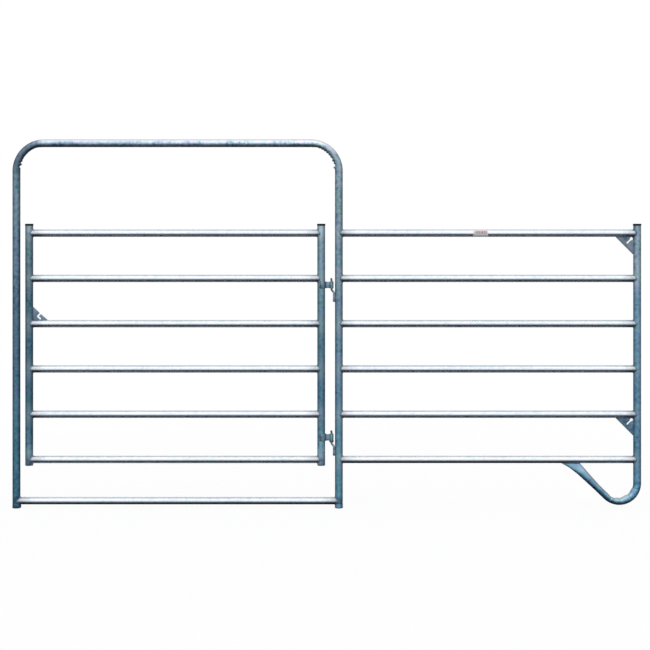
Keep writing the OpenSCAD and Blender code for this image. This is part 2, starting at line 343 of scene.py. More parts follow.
def darkened_ends(nodes, parts, clouds, ends, reach):
    """Brightness along a bar: lowest at its two ends, and 1 away from them. At a strap's edges this is
    painted shade, and on a rail it darkens towards its welded ends.
    """
    away = [nodes.math("ABSOLUTE", nodes.minus(parts["X"], end)) for end in ends]
    stray = reach[0] / 2
    ragged = nodes.plus(nodes.math("MINIMUM", *away), nodes.spread(clouds, *NOISE_SPAN, -stray, stray))
    bright = nodes.math("POWER", nodes.spread(ragged, *reach), END_FALLOFF)
    return nodes.spread(bright, 0, 1, DARKEST_END, 1)


def galvanised(
    name, tones, run, rough, mottle=1.0, pale=0.0, along=(1.0, 1.0), left=None, ends=None,
    reach=RAIL_END, welded=0.0,
):
    """Hot-dip zinc: spangle, cloudy patches, runs along the tube and fine grit.

    tones are (height, red, green, blue) rows from the ground up, the colours from 0 to
    255. run is how far the patches and runs are drawn out along X, Y and Z. rough is the
    lowest and highest roughness. mottle is how strong the patches, the spangle and the
    bumps are. pale is how far a painted highlight whitens faces that look up, and with it
    the bow's left bend gets painted shade. along is the brightness at the panel's left
    end, and from the hinge post on. left is the tint at the left end. ends are the two
    places along X, such as a rail's welded ends, where the colour is darkened, and reach
    is how far; at a strap's edges this darkening is painted shade. welded is how far the
    zinc is whiter where rails are welded to an upright.
    """
    material, nodes, shader = material_tree(name)
    place = nodes.add("TexCoord").outputs["Object"]
    drawn_out = nodes.stretched(place, run)
    patches = nodes.noise(drawn_out, PATCH_SCALE, detail=4)
    clouds = nodes.noise(place, CLOUD_SCALE)
    drift = nodes.noise(place, DRIFT_SCALE, detail=2)
    runs = nodes.noise(nodes.stretched(drawn_out, run), RUN_SCALE, detail=2)
    grit = nodes.noise(place, GRIT_SCALE, detail=2)
    cells = nodes.add("TexVoronoi", {"Vector": place, "Scale": SPANGLE_SCALE}).outputs["Color"]
    spangle = nodes.add("SeparateColor", {"Color": cells}).outputs[0]

    parts = nodes.add("SeparateXYZ", {"Vector": place}).outputs
    share_up = nodes.math("DIVIDE", parts["Z"], cad_high.z)
    colour = nodes.ramp(share_up, [(height / cad_high.z, srgb(*tone)) for height, *tone in tones])
    mixed = nodes.weighted((patches, BROAD_SHARE), (clouds, 1 - BROAD_SHARE))
    colour = nodes.tinted(colour, nodes.mix(mottle, PATCH_TINTS[1][1], nodes.ramp(mixed, PATCH_TINTS)))
    colour = nodes.tinted(colour, nodes.ramp(drift, DRIFT_TINTS), mottle)

    sparkle = SPARKLE * mottle
    value = nodes.times(
        nodes.spread(parts["X"], LATCH_POST_X, HINGE_POST_X, *along),
        PATCH_GAIN,
        nodes.spread(spangle, 0, 1, 1 - sparkle, 1 + sparkle),
        nodes.spread(runs, *NOISE_SPAN, *RUN_SHADE),
        nodes.spread(grit, *NOISE_SPAN, *GRIT_SHADE),
    )
    if ends:
        value = nodes.times(value, darkened_ends(nodes, parts, clouds, ends, reach))
    grey = nodes.add("CombineColor", {0: value, 1: value, 2: value}).outputs[0]
    colour = nodes.tinted(colour, grey)
    if welded:
        whiter = nodes.times(weld_patches(nodes, parts, clouds), welded)
        colour = nodes.mix(whiter, colour, PALE_ZINC_AND_HIGHLIGHT)
    if left:
        leftness = nodes.spread(parts["X"], LATCH_POST_X, HINGE_POST_X, 1, 0)
        colour = nodes.tinted(colour, left, leftness)
    if pale:
        colour = painted_light_and_shade(nodes, parts, colour, pale)

    wear = nodes.weighted((spangle, 0.5), (runs, 0.5))
    lumps = nodes.weighted((clouds, 0.8), (runs, 0.5), (spangle, 0.12), (grit, 0.1))
    nodes.fill(shader, {
        "Base Color": colour,
        "Roughness": nodes.spread(wear, *WEAR_SPAN, *rough),
        "Metallic": METALLIC,
        "Specular Tint": EDGE_TINT,
        "Normal": nodes.bump(lumps, BUMP_STRENGTH * mottle, BUMP_DEPTH),
    })
    return material


PLUG_BLACK = srgb(7, 8, 9)
PLUG_DUST = srgb(24, 26, 28)
DUST_SCALE = 120
GRAIN_SCALE = 2200
GRAIN_DEPTH = 0.1 * MM


def plug_plastic():
    """Black moulded plastic, dusty on top and scuffed."""
    material, nodes, shader = material_tree("black_plug_plastic")
    place = nodes.add("TexCoord").outputs["Object"]
    dust = nodes.noise(place, DUST_SCALE, detail=4)
    grain = nodes.noise(place, GRAIN_SCALE, detail=1)
    nodes.fill(shader, {
        "Base Color": nodes.ramp(dust, [(0.35, PLUG_BLACK), (0.7, PLUG_DUST)]),
        "Roughness": nodes.spread(dust, *NOISE_SPAN, 0.5, 0.72),
        "Normal": nodes.bump(grain, 0.3, GRAIN_DEPTH),
        "Specular IOR Level": 0.3,
    })
    return material


LABEL_WHITE = srgb(240, 242, 245)
LABEL_RED = srgb(200, 88, 110)
# The sticker's pale green band, made lighter still as painted light on the rail's shaded underside
LABEL_GREEN = srgb(222, 248, 240)
LABEL_DIRT = srgb(168, 170, 168)
DIRT_SCALE = 160
# Shares of the sticker's height and length
GREEN_TOP = 0.42
DASHES_UP = (0.57, 0.9)
DASHES_ALONG = (0.1, 0.9)
DASH_COUNT = 9
DASH_GAP = 0.38


def label_film():
    """A white sticker with a pale green band and a row of red dashes, and no lettering."""
    material, nodes, shader = material_tree("label_film")
    coordinates = nodes.add("TexCoord").outputs
    along, up = nodes.add("SeparateXYZ", {"Vector": coordinates["UV"]}).outputs[0:2]
    dirt = nodes.noise(coordinates["Object"], DIRT_SCALE, detail=4)

    def inside(value, low, high):
        above = nodes.math("GREATER_THAN", value, low)
        return nodes.times(above, nodes.math("LESS_THAN", value, high))

    bars = nodes.math("GREATER_THAN", nodes.math("FRACT", nodes.times(along, DASH_COUNT)), DASH_GAP)
    dashes = nodes.times(inside(up, *DASHES_UP), inside(along, *DASHES_ALONG), bars)
    colour = nodes.mix(dashes, LABEL_WHITE, LABEL_RED)
    colour = nodes.mix(nodes.math("LESS_THAN", up, GREEN_TOP), colour, LABEL_GREEN)
    colour = nodes.mix(nodes.spread(dirt, 0.45, 0.8, 0, 0.4), colour, LABEL_DIRT)
    roughness = nodes.spread(dirt, *NOISE_SPAN, 0.35, 0.55)
    nodes.fill(shader, {"Base Color": colour, "Roughness": roughness})
    return material


# Colours from the ground up: height, red, green, blue
POST_TONES = [
    (0.15, 88, 129, 144),
    (1.0, 93, 118, 132),
    (1.5, 120, 138, 147),
    (1.8, 119, 137, 143),
    (2.0, 134, 148, 157),
    # From here up the ramp paints a highlight along the top of the bow
    (2.07, 146, 159, 168),
    (2.1, 196, 201, 210),
]
GATE_TONES = [
    (0.25, 156, 190, 200),
    (0.4, 104, 140, 157),
    (0.6, 86, 122, 140),
    (0.8, 84, 118, 136),
    (1.25, 109, 136, 149),
    (1.6, 125, 146, 155),
]
END_TONES = [
    (0.0, 102, 145, 158),
    (0.12, 98, 138, 160),
    (0.25, 92, 128, 148),
    (0.7, 92, 126, 146),
    (1.0, 102, 134, 152),
    (1.2, 98, 127, 146),
    (1.42, 142, 155, 168),
    (1.6, 124, 141, 156),
]
# Near white: partly the rails' zinc, and partly a painted reflection of the sky along their lengthwise
# grain
RAIL_TONES = [(0.0, 238, 240, 247)]
PLATE_TONES = [(0.4, 116, 144, 164), (1.1, 128, 146, 164), (1.5, 140, 151, 162)]
HINGE_TONES = [(0.0, 137, 164, 175)]
WELD_TONES = [(0.0, 138, 152, 170)]
# A hinge rod is dark from a little below its strap, and light further down its leg
ROD_DARK = (104, 120, 128)
ROD_LIGHT = (168, 184, 192)
DARK_BELOW_STRAP = 6 * MM
LIGHT_BELOW_STRAP = 22 * MM
DARK_ABOVE_STRAP = 60 * MM


def rod_tones():
    """Dark at each pin, and light on the leg below it, where the weld was dressed."""
    tones = []
    for level in ("lower", "upper"):
        strap_low, strap_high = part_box(f"hinge_strap_{level}")
        leg_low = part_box(f"hinge_pin_{level}")[0]
        tones += [(leg_low.z, *ROD_LIGHT), (strap_low.z - LIGHT_BELOW_STRAP, *ROD_LIGHT)]
        tones += [(strap_low.z - DARK_BELOW_STRAP, *ROD_DARK)]
        tones += [(strap_high.z + DARK_ABOVE_STRAP, *ROD_DARK)]
    return tones


PANEL_ENDS = [HINGE_POST_X, upright_x("panel_end_stile")]
GATE_ENDS = [upright_x("gate_latch_stile"), upright_x("gate_hinge_stile")]
DOORWAY_ENDS = [LATCH_POST_X, HINGE_POST_X]
STRAP_ENDS = [corner.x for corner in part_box("hinge_strap_upper")]
# How far the pattern is drawn out along X, Y and Z. A smaller number draws it out more.
UPRIGHT = (1, 1, 0.3)
LEVEL = (0.2, 1, 1)
ANY_WAY = (1, 1, 1)
# Lowest and highest roughness
SMOOTH = (0.19, 0.25)
DULL = (0.34, 0.52)
RAIL_MOTTLE = 0.25

POST = galvanised(
    "galvanised_post", POST_TONES, UPRIGHT, DULL, pale=0.95, along=(1.25, 1.82),
    left=LATCH_SIDE_TINT, welded=0.15,
)
GATE_POST = galvanised(
    "galvanised_gate_stile", GATE_TONES, UPRIGHT, DULL, along=(1.06, 1.48), welded=0.13
)
END_POST = galvanised(
    "galvanised_end_stile", END_TONES, UPRIGHT, DULL, pale=0.6, along=(1.0, 1.72), welded=0.1
)
PANEL_RAIL, GATE_RAIL, BASE_RAIL = [
    galvanised(f"galvanised_{name}_rail", RAIL_TONES, LEVEL, SMOOTH, RAIL_MOTTLE, ends=ends)
    for name, ends in (("panel", PANEL_ENDS), ("gate", GATE_ENDS), ("base", DOORWAY_ENDS))
]
PLATE = galvanised("galvanised_plate", PLATE_TONES, ANY_WAY, DULL, 0.7)
# The strap's darkened edges are painted shade: along its end on the stile and round the right side of
# its eye
HINGE = galvanised("hinge_steel", HINGE_TONES, ANY_WAY, DULL, ends=STRAP_ENDS, reach=STRAP_RIM)
ROD = galvanised("hinge_rod", rod_tones(), ANY_WAY, DULL)
WELD = galvanised("weld_bead", WELD_TONES, ANY_WAY, DULL)
FOOT = galvanised(
    "galvanised_foot", POST_TONES, ANY_WAY, DULL, along=(0.8, 1.68), left=LATCH_SIDE_TINT
)
PLUG = plug_plastic()
LABEL = label_film()


# ---- mesh helpers


def add_piece(name, mesh, body, material, replaces=(), sharp=40):
    """Puts a finished mesh in the scene, riding on a CAD body."""
    edit = bmesh.new()
    edit.from_mesh(mesh)
    bmesh.ops.recalc_face_normals(edit, faces=edit.faces)
    edit.to_mesh(mesh)
    edit.free()
    mesh.polygons.foreach_set("use_smooth", [True] * len(mesh.polygons))
    mesh.set_sharp_from_angle(angle=radians(sharp))
    mesh.materials.clear()
    mesh.materials.append(material)
    piece = bpy.data.objects.new(name, mesh)
    bpy.context.scene.collection.objects.link(piece)
    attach(piece, body)
    if replaces:
        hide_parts(*replaces)
    return piece


def mesh_from(name, points, faces):
    mesh = bpy.data.meshes.new(name)
    mesh.from_pydata(points, [], faces)
    return mesh


def skin(shells, name):
    """One mesh from several runs of rings. Each is (rings, closed): a closed run joins
    its last ring to its first, and an open one gets a cap at each end."""
    points, faces = [], []
    for rings, closed in shells:
        start, count = len(points), len(rings[0])
        for ring in rings:
            points.extend(ring)
        for i in range(len(rings) if closed else len(rings) - 1):
            here = start + i * count
            there = start + (i + 1) % len(rings) * count
            for j in range(count):
                k = (j + 1) % count
                faces.append((here + j, here + k, there + k, there + j))
        if not closed:
            faces.append(tuple(range(start, start + count)))
            last = start + (len(rings) - 1) * count
            faces.append(tuple(range(last, last + count)))
    return mesh_from(name, points, faces)


def lathe(profile, centre, lean=None, count=RING):
    """Rings for a turned piece from (radius, height) points, about an upright axis."""
    rings = []
    for radius, height in profile:
        ring = []
        for i in range(count):
            angle = 2 * pi * i / count
            reach = radius + (lean(angle, height) if lean else 0)
            ring.append(centre + Vector((reach * cos(angle), reach * sin(angle), height)))
        rings.append(ring)
    return rings


Station = namedtuple("Station", "point heading turned")


class Walk:
    """Stations along the middle of a bent bar, found by walking in a plane.

    A heading is an angle in degrees from the plane's first axis. turned is how far
    into its bend a station lies, in degrees, and None on a straight.
    """

    def __init__(self, first, second, heading):
        self.point = Vector((first, second))
        self.heading = heading
        self.stations = [Station(self.point.copy(), heading, None)]

    def ahead(self, length, step=80 * MM):
        count = max(1, round(length / step))
        start = self.point.copy()
        for i in range(1, count + 1):
            self.point = start + unit(self.heading) * length * i / count
            self.stations.append(Station(self.point.copy(), self.heading, None))
        return self

    def turn(self, radius, angle, step=1.5):
        """Turns right for a positive angle in degrees, and left for a negative one."""
        side = copysign(1, angle)
        count = max(2, ceil(abs(angle) / step))
        centre = self.point - unit(self.heading + 90 * side) * radius
        start = self.heading
        for i in range(1, count + 1):
            done = angle * i / count
            self.point = centre + unit(start - done + 90 * side) * radius
            self.heading = start - done
            self.stations.append(Station(self.point.copy(), self.heading, abs(done)))
        return self


def right_of(station):
    """The direction to the right of the way ahead, in the walk's plane."""
    return unit(station.heading - 90)


def in_panel(point, y):
    """A point of a walk in the X-Z plane, y behind the panel's middle."""
    return Vector((point.x, y, point.y))


def tube_ring(station, inner, outer, side, ridge=0.0, spread=3):
    """A ring round a station. inner and outer are its half widths towards the right
    and the left of the way ahead, side is its half depth, and ridge stands out on the
    right, over less of the ring for a larger spread."""
    right = right_of(station)
    ring = []
    for across, behind in circle(RING):
        width = across * (inner if across > 0 else outer)
        width += ridge * max(0, across) ** spread
        ring.append(in_panel(station.point + right * width, side * behind))
    return ring


def hollow(stations, shape, wall, lip=0.6 * MM):
    """The closed run of rings of a tube: its outside and then back along its inside.
    shape gives the ring at a station, drawn in by an inset. lip is the inset that breaks
    the edge of a cut end."""
    outside = [shape(s, 0) for s in stations[1:-1]]
    inside = [shape(s, wall) for s in reversed(stations)]
    ends = [shape(stations[0], lip), shape(stations[-1], lip)]
    return [ends[0], *outside, ends[1], *inside]


def end_trimmed(stations, lip=0.8 * MM):
    """Adds a station close to each end, so that the lip there is short."""
    first, second, last = stations[0], stations[1], stations[-1]
    ahead = (second.point - first.point).normalized() * lip
    back = (stations[-2].point - last.point).normalized() * lip
    after = Station(first.point + ahead, first.heading, first.turned)
    before = Station(last.point + back, last.heading, last.turned)
    return [first, after, *stations[1:-1], before, last]


# ---- bent tubes

# Wrinkles on the inside of the bow's corners: degrees from the post, height in millimetres
LATCH_WRINKLES = [(10.5, -8.0), (16.5, 8.5), (20.5, -4.5), (24, 5.0), (31, 1.8), (38, 1.2), (45, 1.2)]
HINGE_WRINKLES = [
    (9, 9.5), (14.5, -3.0), (19, 5.0), (26, 8.0), (35, 5.6),
    (42, 5.0), (49, 5.0), (56, 4.4), (63, 4.0), (70, 3.0),
]
WRINKLE_HALF_WIDTH = 2.2
# How far the inside of a corner is pressed in, and between which degrees that grows
# from nothing and then goes back to nothing
BOW_PRESSED = 4.5 * MM
PRESSED_FROM = (6, 20)
PRESSED_TO = (66, 88)


def wrinkle(table, turned):
    """Height of the wrinkles at one place on the inside of a corner."""
    height = sum(h * exp(-(((turned - at) / WRINKLE_HALF_WIDTH) ** 2)) for at, h in table)
    grown = (turned - PRESSED_FROM[0]) / (PRESSED_FROM[1] - PRESSED_FROM[0])
    left = (PRESSED_TO[1] - turned) / (PRESSED_TO[1] - PRESSED_TO[0])
    pressed = smooth(grown) * smooth(left)
    return height * MM - BOW_PRESSED * pressed


def build_bow():
    post_l = BOW_SPRING_Z - bow_low.z
    top_l = HINGE_POST_X - LATCH_POST_X - 2 * BOW_BEND_R
    walk = Walk(LATCH_POST_X, bow_low.z, 90).ahead(post_l).turn(BOW_BEND_R, 90)
    walk.ahead(top_l).turn(BOW_BEND_R, 90).ahead(post_l)

    def shape(station, inset):
        r = POST_R - inset
        ridge = 0
        if station.turned is not None:
            at_latch = station.point.x < (LATCH_POST_X + HINGE_POST_X) / 2
            from_post = station.turned if at_latch else 90 - station.turned
            ridge = wrinkle(LATCH_WRINKLES if at_latch else HINGE_WRINKLES, from_post)
        return tube_ring(station, r, r, r, ridge)

    rings = hollow(end_trimmed(walk.stations), shape, POST_WALL)
    mesh = skin([(rings, True)], "bow_tube")
    add_piece("bow_tube", mesh, "panel", POST, ["frame_bow"], sharp=60)


# The skid foot's bend, in millimetres: degrees into it, half width on the inside, half depth
FOOT_BEND = [
    (0, 22.5, 22.5), (12, 22.3, 22.8), (30, 25.5, 23.2), (47, 22.0, 23.8), (65, 25.0, 24.2),
    (84, 18.6, 24.6), (97, 18.8, 24.8), (108, 14.0, 25.0), (121, 13.5, 25.0), (133.5, 15.5, 25.0),
]
# Creases across that bend: degrees into it and depth in millimetres, and how much of
# that depth the sides of the tube lose too
FOOT_CREASES = [(19, 1.4), (55, 2.8), (90, 3.2), (108, 2.8), (122, 2.2)]
CREASE_HALF_WIDTH = 2.6
CREASE_SIDES = 0.7
# The leg that goes back up, in millimetres: share of its length, half widths on the inside
# and the outside, half depth, and how square its section is, from 2 for an oval
FOOT_LEG = [
    (0.00, 15.5, 22.5, 25.0, 2.0),
    (0.30, 16.5, 22.0, 24.6, 2.0),
    (0.50, 20.5, 23.0, 23.0, 2.1),
    (0.70, 24.5, 24.0, 19.0, 2.3),
    (0.88, 28.5, 30.0, 9.5, 2.8),
    (1.00, 31.0, 43.0, 4.5, 3.2),
]
LEG_RINGS = 26
LEG_BITE = 0.5 * MM


def leg_ring(start, heading, share, inset):
    """A ring of the leg. All its lines run on until they meet the rail's underside."""
    inner, outer, side, square = between(FOOT_LEG, share)
    widths = (inner * MM - inset, outer * MM - inset)
    depth = side * MM - inset
    right = right_of(Station(start, heading, None))
    way = unit(heading)
    power = 2 / square
    ring = []
    for across, behind in circle(RING):
        across = copysign(abs(across) ** power, across)
        y = depth * copysign(abs(behind) ** power, behind)
        point = start + right * across * (widths[0] if across > 0 else widths[1])
        underside = LOWEST_RAIL_Z - sqrt(max(0, RAIL_R**2 - y * y))
        full = (underside + LEG_BITE - point.y) / way.y
        ring.append(in_panel(point + way * full * share, y))
    return ring


def build_end_stile():
    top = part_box("panel_end_stile")[1].z
    x = upright_x("panel_end_stile")
    walk = Walk(x, top, -90).ahead(top - FOOT_LIFT - POST_R - FOOT_BEND_R)
    walk.turn(FOOT_BEND_R, 90 + FOOT_SLOPE)
    start, heading = walk.point, walk.heading
    stations = end_trimmed(walk.stations)[:-2]

    def shape(station, inset):
        turned = station.turned or 0
        inner, side = between(FOOT_BEND, turned)
        crease = sum(d * exp(-(((turned - at) / CREASE_HALF_WIDTH) ** 2)) for at, d in FOOT_CREASES)
        side -= CREASE_SIDES * crease
        r = POST_R - inset
        return tube_ring(station, r, r, side * MM - inset, (inner - crease) * MM - POST_R, 1.3)

    shares = [i / LEG_RINGS for i in range(LEG_RINGS + 1)]
    outside = [shape(s, 0) for s in stations[1:]]
    outside += [leg_ring(start, heading, share, 0) for share in shares]
    inside = [shape(s, POST_WALL) for s in stations]
    inside += [leg_ring(start, heading, share, POST_WALL) for share in shares]
    rings = [shape(stations[0], 0.6 * MM), *outside, *reversed(inside)]
    replaced = ["panel_end_stile", "skid_foot_bend", "skid_foot_leg"]
    mesh = skin([(rings, True)], "end_stile_and_foot")
    add_piece("end_stile_and_foot", mesh, "panel", END_POST, replaced, sharp=28)


def build_gate_stile(node):
    low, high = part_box(node)
    walk = Walk(upright_x(node), high.z, -90).ahead(high.z - low.z)

    def shape(station, inset):
        r = POST_R - inset
        return tube_ring(station, r, r, r)

    mesh = skin([(hollow(end_trimmed(walk.stations), shape, POST_WALL), True)], node)
    add_piece(f"{node}_tube", mesh, "gate", GATE_POST, [node], sharp=50)


# ---- hinges


def rod_ring(station, r, count=20):
    right = right_of(station)
    return [in_panel(station.point + right * r * c, r * s) for c, s in circle(count)]


# How far a rod runs straight on below its strap before it sweeps over to the post
ROD_BELOW_STRAP = {"upper": 2 * MM, "lower": 10 * MM}
ROD_SLANT = 42
ROD_SWEEP_R = 16 * MM
# The rod's tip leans away from the post
TIP_LEAN = 9
TIP_LEAN_R = 40 * MM
TIP_L = 9 * MM
# A cut end's broken edge: distance from the end in millimetres, share of the radius
CUT_END = [(0.0, 0.55), (0.7, 0.85), (1.8, 1.0)]


def build_hinge_pin(level):
    """A rod that leans a little above the eye, goes through it, and sweeps over to the post."""
    node = f"hinge_pin_{level}"
    low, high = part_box(node)
    strap_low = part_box(f"hinge_strap_{level}")[0]
    r = bar_radius(node)
    pin_x = low.x + r
    jog = high.x - r - pin_x
    slant, lean = radians(ROD_SLANT), radians(TIP_LEAN)
    slope_l = (jog - 2 * ROD_SWEEP_R * (1 - cos(slant))) / sin(slant)
    lean_x = TIP_LEAN_R * (1 - cos(lean))
    straight_top = high.z - TIP_L - TIP_LEAN_R * sin(lean)
    tip_x = pin_x - lean_x - TIP_L * sin(lean)
    tip_z = straight_top + TIP_LEAN_R * sin(lean) + TIP_L * cos(lean)
    walk = Walk(tip_x, tip_z, -90 + TIP_LEAN).ahead(TIP_L, 3 * MM).turn(TIP_LEAN_R, TIP_LEAN, 3)
    walk.ahead(walk.point.y - strap_low.z + ROD_BELOW_STRAP[level], 20 * MM)
    walk.turn(ROD_SWEEP_R, -ROD_SLANT, 5).ahead(slope_l, 4 * MM).turn(ROD_SWEEP_R, ROD_SLANT, 5)
    walk.ahead(walk.point.y - low.z, 20 * MM)
    rings = [rod_ring(s, r) for s in walk.stations]

    def cut_end(end, way):
        places = [(Station(end.point + way * d * MM, end.heading, None), r * k) for d, k in CUT_END]
        return [rod_ring(place, radius) for place, radius in places]

    first, last = walk.stations[0], walk.stations[-1]
    top = cut_end(first, (walk.stations[1].point - first.point).normalized())
    foot = cut_end(last, Vector((0, 1)))[::-1]
    mesh = skin([([*top, *rings[1:-1], *foot], False)], node)
    add_piece(f"{node}_rod", mesh, "panel", ROD, [node], sharp=50)


def bar_ring(station, thickness, low, high, corner=1.1 * MM):
    """A ring round a flat bar that stands on edge, for a walk in the X-Y plane."""
    right = right_of(station)
    ring = []
    half = thickness / 2
    for across, up, start in ((1, 1, 0), (-1, 1, 90), (-1, -1, 180), (1, -1, 270)):
        for i in range(4):
            angle = radians(start + 30 * i)
            width = across * (half - corner) + corner * cos(angle)
            level = (high - corner if up > 0 else low + corner) + corner * sin(angle)
            point = station.point + right * width
            ring.append(Vector((point.x, point.y, level)))
    return ring


def strap_walk(stile_x, pin_x, eye_r):
    """The middle line of a strap: round the stile, along the neck and round the pin."""
    saddle_r = POST_R + STRAP_T / 2
    fillet_r = STRAP_FILLET_R + STRAP_T / 2
    loop_r = eye_r + STRAP_T / 2
    pinch_r = 4 * MM
    neck_y = STRAP_T / 2
    end_angle = 90 + degrees(asin(STRAP_PAST / saddle_r))
    saddle_angle = degrees(asin((neck_y + fillet_r) / (saddle_r + fillet_r)))
    pinch_angle = degrees(asin((neck_y + pinch_r) / (loop_r + pinch_r)))
    neck_start = stile_x + (saddle_r + fillet_r) * cos(radians(saddle_angle))
    neck_end = pin_x - (loop_r + pinch_r) * cos(radians(pinch_angle))
    start = radians(-end_angle)
    walk = Walk(stile_x + saddle_r * cos(start), saddle_r * sin(start), 90 - end_angle)
    walk.turn(saddle_r, -(end_angle - saddle_angle), 5).turn(fillet_r, 90 - saddle_angle, 6)
    walk.ahead(neck_end - neck_start, 2 * MM).turn(pinch_r, 90 - pinch_angle, 10)
    walk.turn(loop_r, -(360 - 2 * pinch_angle), 8).turn(pinch_r, 90 - pinch_angle, 10)
    walk.ahead(neck_end - neck_start, 2 * MM).turn(fillet_r, 90 - saddle_angle, 6)
    walk.turn(saddle_r, -(end_angle - saddle_angle), 5)
    return walk


# The strap's edges draw in where its neck begins: how much, how far from the stile's
# middle, and over what length
NECK_DIP = 1.8 * MM
NECK_AT = 38 * MM
NECK_SPREAD = 13 * MM


def build_strap(level):
    """A flat bar bent round the pin, pinched together and opened round the stile."""
    node = f"hinge_strap_{level}"
    low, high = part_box(node)
    pin_r = bar_radius(f"hinge_pin_{level}")
    pin_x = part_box(f"hinge_pin_{level}")[0].x + pin_r
    stile_x = upright_x("gate_hinge_stile")
    walk = strap_walk(stile_x, pin_x, pin_r + PIN_PLAY)
    rings = []
    for station in walk.stations:
        from_neck = (station.point.x - stile_x - NECK_AT) / NECK_SPREAD
        dip = NECK_DIP * exp(-from_neck * from_neck)
        rings.append(bar_ring(station, STRAP_T, low.z + dip, high.z - dip))
    mesh = skin([(rings, False)], node)
    add_piece(f"{node}_bar", mesh, "gate", HINGE, [node], sharp=50)


RING_PLAY = 0.03 * MM
COLLAR_BITE = 0.1 * MM


def build_pin_ring(node, bore_r, body):
    """A flat ring with broken edges, a hair thinner than the space it has."""
    low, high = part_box(node)
    pin_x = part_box("hinge_pin_lower")[0].x + bar_radius("hinge_pin_lower")
    outer_r = (high.x - low.x) / 2
    h = high.z - low.z - 2 * RING_PLAY
    edge = 0.7 * MM
    under = [(bore_r, edge), (bore_r + edge, 0), (outer_r - edge, 0), (outer_r, edge)]
    over = [(radius, h - height) for radius, height in reversed(under)]
    rings = lathe(under + over, Vector((pin_x, 0, low.z + RING_PLAY)))
    mesh = skin([(rings, True)], node)
    add_piece(f"{node}_ring", mesh, body, ROD, [node], sharp=30)


# ---- plates

# How far a plate runs into the tubes it is welded to, and how far its tips are cut back
PLATE_BITE = 4 * MM
PLATE_TIP = 2 * MM


def arc_points(centre, radius, start, end, count=10):
    """Points on an arc in a plane, from one angle in degrees to another."""
    return [centre + radius * unit(start + (end - start) * i / count) for i in range(count + 1)]


def plate_mesh(name, loops, thickness=GUSSET_T, edge=0.8 * MM):
    """A flat plate in the X-Z plane with broken edges. The first loop is its outline
    and the others are holes."""
    curve = bpy.data.curves.new(name, "CURVE")
    curve.dimensions = "2D"
    curve.fill_mode = "BOTH"
    curve.extrude = thickness / 2 - edge
    curve.bevel_depth = edge
    curve.bevel_resolution = 2
    curve.offset = -edge
    for loop in loops:
        spline = curve.splines.new("POLY")
        spline.points.add(len(loop) - 1)
        for point, at in zip(spline.points, loop):
            point.co = (at.x, at.y, 0, 1)
        spline.use_cyclic_u = True
    holder = bpy.data.objects.new(name, curve)
    bpy.context.scene.collection.objects.link(holder)
    bpy.context.view_layer.update()
    evaluated = holder.evaluated_get(bpy.context.evaluated_depsgraph_get())
    mesh = bpy.data.meshes.new_from_object(evaluated)
    bpy.data.objects.remove(holder)
    bpy.data.curves.remove(curve)
    mesh.transform(Matrix.Rotation(radians(90), 4, "X"))
    edit = bmesh.new()
    edit.from_mesh(mesh)
    bmesh.ops.remove_doubles(edit, verts=edit.verts, dist=0.01 * MM)
    edit.to_mesh(mesh)
    edit.free()
    return mesh


def keyhole(corner):
    """A round hole near the corner with a slot running away from it at 45 degrees."""
    hole = corner - Vector((KEYHOLE_INSET, KEYHOLE_INSET))
    run = 225
    half = degrees(asin(KEYHOLE_SLOT_W / 2 / KEYHOLE_R))
    end = hole + KEYHOLE_SLOT_L * unit(run)
    points = arc_points(hole, KEYHOLE_R, run + half, run + 360 - half, 24)
    return points + arc_points(end, KEYHOLE_SLOT_W / 2, run - 90, run + 90)


def build_corner_gusset(level, rail_number):
    node = f"corner_gusset_{level}"
    x = upright_x("panel_end_stile")
    corner = Vector((x - POST_R, rail_z("panel", rail_number) - RAIL_R))
    outline = [
        corner + Vector((PLATE_BITE, PLATE_BITE)),
        corner + Vector((-CORNER_LEG, PLATE_BITE)),
        corner + Vector((-CORNER_LEG, -PLATE_TIP)),
        corner + Vector((-PLATE_TIP, -CORNER_LEG)),
        corner + Vector((PLATE_BITE, -CORNER_LEG)),
    ]
    mesh = plate_mesh(node, [outline, keyhole(corner)])
    add_piece(f"{node}_plate", mesh, "panel", PLATE, [node], sharp=35)


def build_chain_gusset():
    """The plate above the gate's third rail, with a hooked slot cut in its sloping edge."""
    node = "gate_chain_gusset"
    corner = Vector((upright_x("gate_latch_stile") + POST_R, rail_z("gate", 3) + RAIL_R))
    slope = Vector((CATCH_W, -CATCH_H)).normalized()
    inward = Vector((slope.y, -slope.x))
    mouth = corner + Vector((CATCH_W, CATCH_H)) / 2
    half = CATCH_SLOT_W / 2

    def at(along, deep):
        return mouth + slope * along + inward * deep

    def corner_arc(along, start, end):
        points = arc_points(Vector((along, CATCH_SLOT_IN)), half, start, end)
        return [at(p.x, p.y) for p in points]

    outline = [
        corner + Vector((-PLATE_BITE, -PLATE_BITE)),
        corner + Vector((-PLATE_BITE, CATCH_H)),
        corner + Vector((PLATE_TIP, CATCH_H)),
        at(-half, 0),
        *corner_arc(0, 180, 90),
        *corner_arc(CATCH_SLOT_TURN, 90, -90),
        at(half, CATCH_SLOT_IN - half),
        at(half, 0),
        corner + Vector((CATCH_W, PLATE_TIP)),
        corner + Vector((CATCH_W, -PLATE_BITE)),
    ]
    mesh = plate_mesh(node, [outline])
    add_piece(f"{node}_plate", mesh, "gate", PLATE, [node], sharp=35)


# ---- plugs, feet, label


